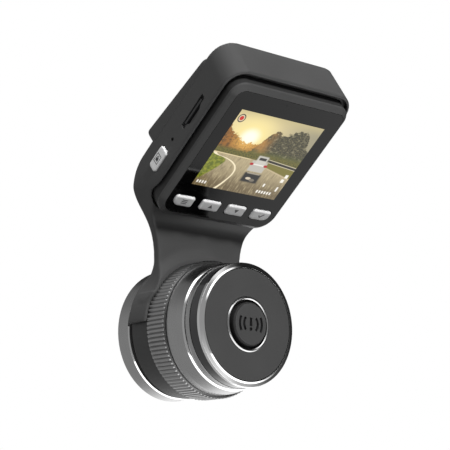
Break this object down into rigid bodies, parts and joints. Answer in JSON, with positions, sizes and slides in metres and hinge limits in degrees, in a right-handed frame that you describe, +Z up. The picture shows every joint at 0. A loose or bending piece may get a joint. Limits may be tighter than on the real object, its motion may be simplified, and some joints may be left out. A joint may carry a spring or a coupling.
{
  "type": "dash camera",
  "caption": "Windscreen dash camera: a stick-on screen housing with keys, a neck, and a level camera barrel with grip ring and emergency button.",
  "frame": {"origin": "centre of the outer face of the adhesive pad, where the camera meets the windscreen", "axes": "+Z up with the camera barrel level, +Y forwards through the windscreen to the road (the lens looks along it), +X to the driver's right"},
  "size_m": [0.0583, 0.0676, 0.1148],
  "materials": {
    "housing_plastic": "fine satin moulding texture",
    "black_plastic": "matt",
    "gloss_black": "gloss",
    "screen_glass": "polished, black printed behind",
    "key_plastic": "satin silver paint",
    "bright_metal": "polished",
    "satin_metal": "satin, turned",
    "screw_steel": "zinc plated",
    "display": "lit display film",
    "circuit_board": "solder mask",
    "chip_black": "moulded",
    "rubber": "matt",
    "foam_tape": "acrylic foam tape",
    "lens_glass": "coated",
    "foil_silver": "plain sheet",
    "amber_film": "polyimide film"
  },
  "bodies": {
    "head": {"main_housing": "housing_plastic", "front_housing": "housing_plastic", "neck_cover": "housing_plastic", "collar_ring": "housing_plastic", "mount_wedge": "black_plastic", "adhesive_pad": "foam_tape", "housing_screw_1": "screw_steel", "housing_screw_2": "screw_steel", "housing_screw_3": "screw_steel", "housing_screw_4": "screw_steel", "screen_glass": "screen_glass", "key_membrane": "rubber", "lcd_panel": "display", "backlight_unit": "foil_silver", "microphone": "foil_silver", "status_light": "display", "main_board": "circuit_board", "card_socket": "foil_silver", "side_switch": "chip_black", "reset_switch": "chip_black", "processor": "chip_black", "heat_spreader": "satin_metal", "memory_chip": "chip_black", "battery": "foil_silver", "speaker": "chip_black", "usb_socket": "foil_silver", "flex_cable": "amber_film"},
    "barrel": {"barrel_core": "black_plastic", "end_trim_ring": "bright_metal", "dark_band": "gloss_black", "light_band": "satin_metal", "sleeve": "satin_metal", "grip_ring": "satin_metal", "friction_washer": "rubber", "lens_end_ring": "satin_metal", "end_plate": "housing_plastic", "button_trim": "bright_metal", "emergency_switch": "chip_black", "button_board": "circuit_board", "sensor_board": "circuit_board", "image_sensor": "chip_black", "lens_holder": "black_plastic", "sensor_screw_1": "screw_steel", "sensor_screw_2": "screw_steel", "lens_tube": "black_plastic", "rear_lens": "lens_glass", "middle_lens": "lens_glass", "front_lens": "lens_glass", "lens_lock_ring": "black_plastic", "lens_bezel": "black_plastic"},
    "emergency_button": {"emergency_button": "housing_plastic", "emergency_plunger": "chip_black"},
    "menu_key": {"menu_key": "key_plastic"},
    "up_key": {"up_key": "key_plastic"},
    "down_key": {"down_key": "key_plastic"},
    "ok_key": {"ok_key": "key_plastic"},
    "side_button": {"side_button": "key_plastic"},
    "memory_card": {"memory_card": "black_plastic"}
  },
  "joints": [
    {"name": "barrel_turn", "type": "hinge", "parent": "head", "child": "barrel", "pos_m": [0, -0.00589, -0.0772], "axis": [0, 1, 0], "range_deg": [-30, 30]},
    {"name": "emergency_press", "type": "slide", "parent": "barrel", "child": "emergency_button", "axis": [0, 1, 0], "range_m": [0, 0.0008], "stiffness_N_per_m": 2500},
    {"name": "menu_key_press", "type": "slide", "parent": "head", "child": "menu_key", "axis": [0, 0.6266, 0.7793], "range_m": [0, 0.0005], "stiffness_N_per_m": 3000},
    {"name": "up_key_press", "type": "slide", "parent": "head", "child": "up_key", "axis": [0, 0.6266, 0.7793], "range_m": [0, 0.0005], "stiffness_N_per_m": 3000},
    {"name": "down_key_press", "type": "slide", "parent": "head", "child": "down_key", "axis": [0, 0.6266, 0.7793], "range_m": [0, 0.0005], "stiffness_N_per_m": 3000},
    {"name": "ok_key_press", "type": "slide", "parent": "head", "child": "ok_key", "axis": [0, 0.6266, 0.7793], "range_m": [0, 0.0005], "stiffness_N_per_m": 3000},
    {"name": "side_button_press", "type": "slide", "parent": "head", "child": "side_button", "axis": [1, 0, 0], "range_m": [0, 0.0005], "stiffness_N_per_m": 3000},
    {"name": "card_slide", "type": "slide", "parent": "head", "child": "memory_card", "axis": [-1, 0, 0], "range_m": [0, 0.012]}
  ]
}
